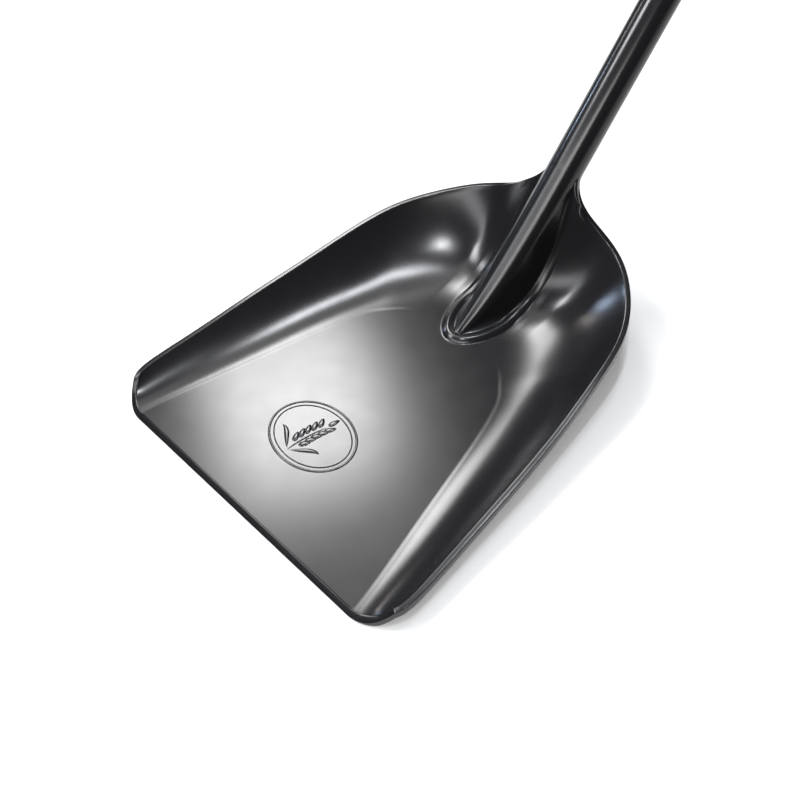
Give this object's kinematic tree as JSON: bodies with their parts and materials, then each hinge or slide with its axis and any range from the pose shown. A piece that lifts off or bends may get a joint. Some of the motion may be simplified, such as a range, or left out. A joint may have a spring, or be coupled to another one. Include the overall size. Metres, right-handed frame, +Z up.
{
  "type": "grain scoop shovel",
  "caption": "Moulded poly grain scoop with a wide flat pan, flared walls and a spine socket on a tube handle with a D grip.",
  "frame": {"origin": "on the underside of the flat pan, on the centre line, 150 mm behind the front edge", "axes": "+X across the blade, +Y from the front edge towards the handle, +Z up from the pan"},
  "size_m": [0.379, 0.9438, 0.6203],
  "materials": {
    "scoop_poly": "satin to gloss moulded polymer",
    "fibreglass": "smooth pultruded rod, fine lengthwise grain",
    "core_wood": "plain hardwood dowel",
    "collar_rubber": "matt",
    "grip_poly": "fine spark texture",
    "bar_rubber": "soft moulded sleeve",
    "steel": "zinc plated"
  },
  "bodies": {
    "root": {"scoop_moulding": "scoop_poly", "handle_tube": "fibreglass", "lower_core_plug": "core_wood", "upper_core_plug": "core_wood", "socket_collar": "collar_rubber", "socket_rivets": "steel", "socket_rivet_washers": "steel", "grip_yoke": "grip_poly", "yoke_rivet": "steel", "yoke_rivet_washer": "steel", "grip_bar": "bar_rubber", "grip_rod": "steel", "grip_rod_nut": "steel", "grip_rod_washers": "steel"}
  },
  "joints": []
}
